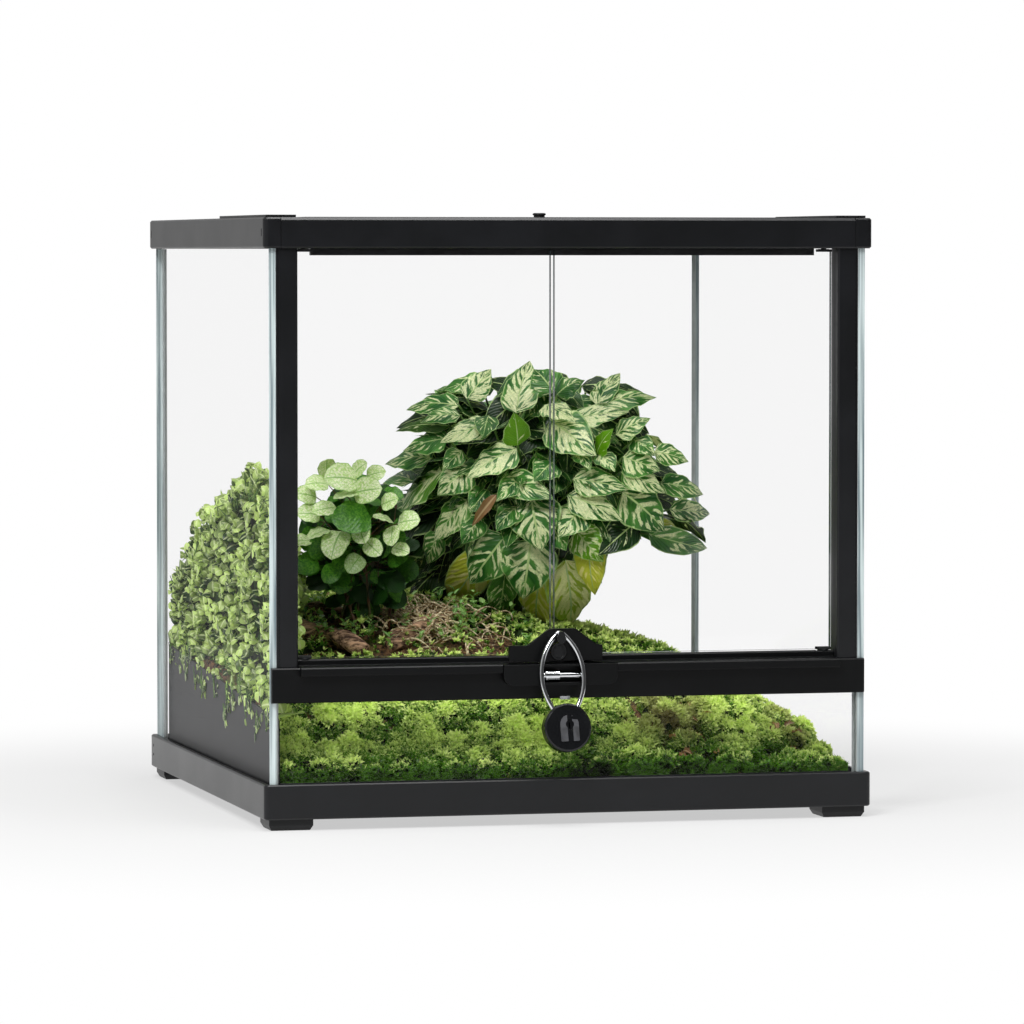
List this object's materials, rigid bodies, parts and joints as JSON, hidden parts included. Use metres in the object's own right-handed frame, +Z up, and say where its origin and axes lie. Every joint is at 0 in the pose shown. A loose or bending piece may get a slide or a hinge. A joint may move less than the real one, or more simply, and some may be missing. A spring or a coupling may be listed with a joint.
{
  "type": "front-opening reptile terrarium",
  "caption": "Planted glass terrarium with a moulded black base and top frame, two hinged glass front doors, a padlocked catch, a sliding bolt and a lift-off screen lid.",
  "frame": {"origin": "on the floor, under the middle of the whole outline, padlock included; the middle of the frame's footprint is 12.9 mm behind it", "axes": "+X to the right seen from the front, +Y towards the back pane, +Z up"},
  "size_m": [0.45, 0.4743, 0.439],
  "materials": {
    "frame_black": "fine-grained moulded ABS, satin",
    "soft_black": "moulded plastic, satin",
    "clear_glass": "clear float glass with pale green edges",
    "silicone": "translucent clear silicone",
    "bright_steel": "polished, plated",
    "pewter": "dull grey plate",
    "liner_grey": "smooth dark liner",
    "earth": "loose dark soil with fibres",
    "moss": "dense cushion moss",
    "bark": "weathered wood",
    "trailing_leaves": "small bright leaves on fine stems",
    "variegated_leaves": "round leaves with pale edges",
    "broad_leaves": "broad pointed leaves with cream feathering",
    "screen": "woven wire screen, black"
  },
  "bodies": {
    "enclosure": {"base_frame": "frame_black", "foot_front_left": "soft_black", "foot_front_right": "soft_black", "foot_back_left": "soft_black", "foot_back_right": "soft_black", "bottom_glass": "clear_glass", "back_glass": "clear_glass", "left_glass": "clear_glass", "right_glass": "clear_glass", "front_window_glass": "clear_glass", "silicone_seams": "silicone", "mid_rail": "frame_black", "door_sill": "frame_black", "left_stile": "frame_black", "right_stile": "frame_black", "top_front_rail": "frame_black", "top_back_rail": "frame_black", "top_left_rail": "frame_black", "top_right_rail": "frame_black", "header_stop": "soft_black", "lock_bezel": "frame_black", "bezel_clip": "bright_steel", "substrate_tray": "liner_grey", "soil": "earth", "moss_bed": "moss", "driftwood": "bark", "trailing_plant": "trailing_leaves", "round_leaf_plant": "variegated_leaves", "broadleaf_plant": "broad_leaves"},
    "left_door": {"left_door_glass": "clear_glass", "left_top_pivot": "soft_black", "left_bottom_pivot": "soft_black"},
    "right_door": {"right_door_glass": "clear_glass", "right_top_pivot": "soft_black", "right_bottom_pivot": "soft_black", "catch_plate": "frame_black", "catch_clamp": "soft_black", "catch_screws": "bright_steel", "lock_peg": "soft_black"},
    "catch_button": {"catch_button": "soft_black"},
    "lock_bolt": {"bolt_rod": "bright_steel", "bolt_sleeve": "bright_steel"},
    "shackle": {"padlock_shackle": "bright_steel"},
    "lock_body": {"padlock_body": "soft_black", "keyhole_plate": "pewter"},
    "key_plug": {"key_plug": "soft_black"},
    "lid": {"lid_frame": "frame_black", "lid_mesh": "screen", "lid_knob": "soft_black"},
    "lid_slide_left": {"lid_slide_left": "soft_black"},
    "lid_slide_right": {"lid_slide_right": "soft_black"},
    "inlet_shutter_left": {"inlet_shutter_left": "soft_black"},
    "inlet_shutter_right": {"inlet_shutter_right": "soft_black"}
  },
  "joints": [
    {"name": "right_door_hinge", "type": "hinge", "parent": "enclosure", "child": "right_door", "pos_m": [0.1929, -0.1956, 0.1222], "axis": [0, 0, 1], "range_deg": [0, 100]},
    {"name": "left_door_hinge", "type": "hinge", "parent": "enclosure", "child": "left_door", "pos_m": [-0.1929, -0.1956, 0.1222], "axis": [0, 0, -1], "range_deg": [0, 100]},
    {"name": "catch_press", "type": "slide", "parent": "right_door", "child": "catch_button", "axis": [0, 1, 0], "range_m": [0, 0.0016], "stiffness_N_per_m": 250, "springref_m": -0.0005},
    {"name": "bolt_slide", "type": "slide", "parent": "enclosure", "child": "lock_bolt", "axis": [1, 0, 0], "range_m": [0, 0.006]},
    {"name": "padlock_swing", "type": "hinge", "parent": "right_door", "child": "shackle", "pos_m": [-0.0103, -0.2175, 0.1344], "axis": [0, -0.9848, 0.1736], "range_deg": [-20, 20]},
    {"name": "padlock_release", "type": "slide", "parent": "shackle", "child": "lock_body", "axis": [0.0314, -0.1736, -0.9843], "range_m": [0, 0.014]},
    {"name": "key_turn", "type": "hinge", "parent": "lock_body", "child": "key_plug", "pos_m": [-0.00714, -0.22929, 0.07329], "axis": [0, -0.9848, 0.1736], "range_deg": [0, 90]},
    {"name": "lid_lift", "type": "slide", "parent": "enclosure", "child": "lid", "axis": [0, 0, 1], "range_m": [0, 0.06]},
    {"name": "lid_slide_left_travel", "type": "slide", "parent": "enclosure", "child": "lid_slide_left", "axis": [1, 0, 0], "range_m": [0, 0.008]},
    {"name": "lid_slide_right_travel", "type": "slide", "parent": "enclosure", "child": "lid_slide_right", "axis": [-1, 0, 0], "range_m": [0, 0.008]},
    {"name": "inlet_shutter_left_travel", "type": "slide", "parent": "enclosure", "child": "inlet_shutter_left", "axis": [1, 0, 0], "range_m": [0, 0.04]},
    {"name": "inlet_shutter_right_travel", "type": "slide", "parent": "enclosure", "child": "inlet_shutter_right", "axis": [-1, 0, 0], "range_m": [0, 0.04]}
  ],
  "couplings": [
    {"joint": "left_door_hinge", "follows": "right_door_hinge", "ratio": 1}
  ]
}
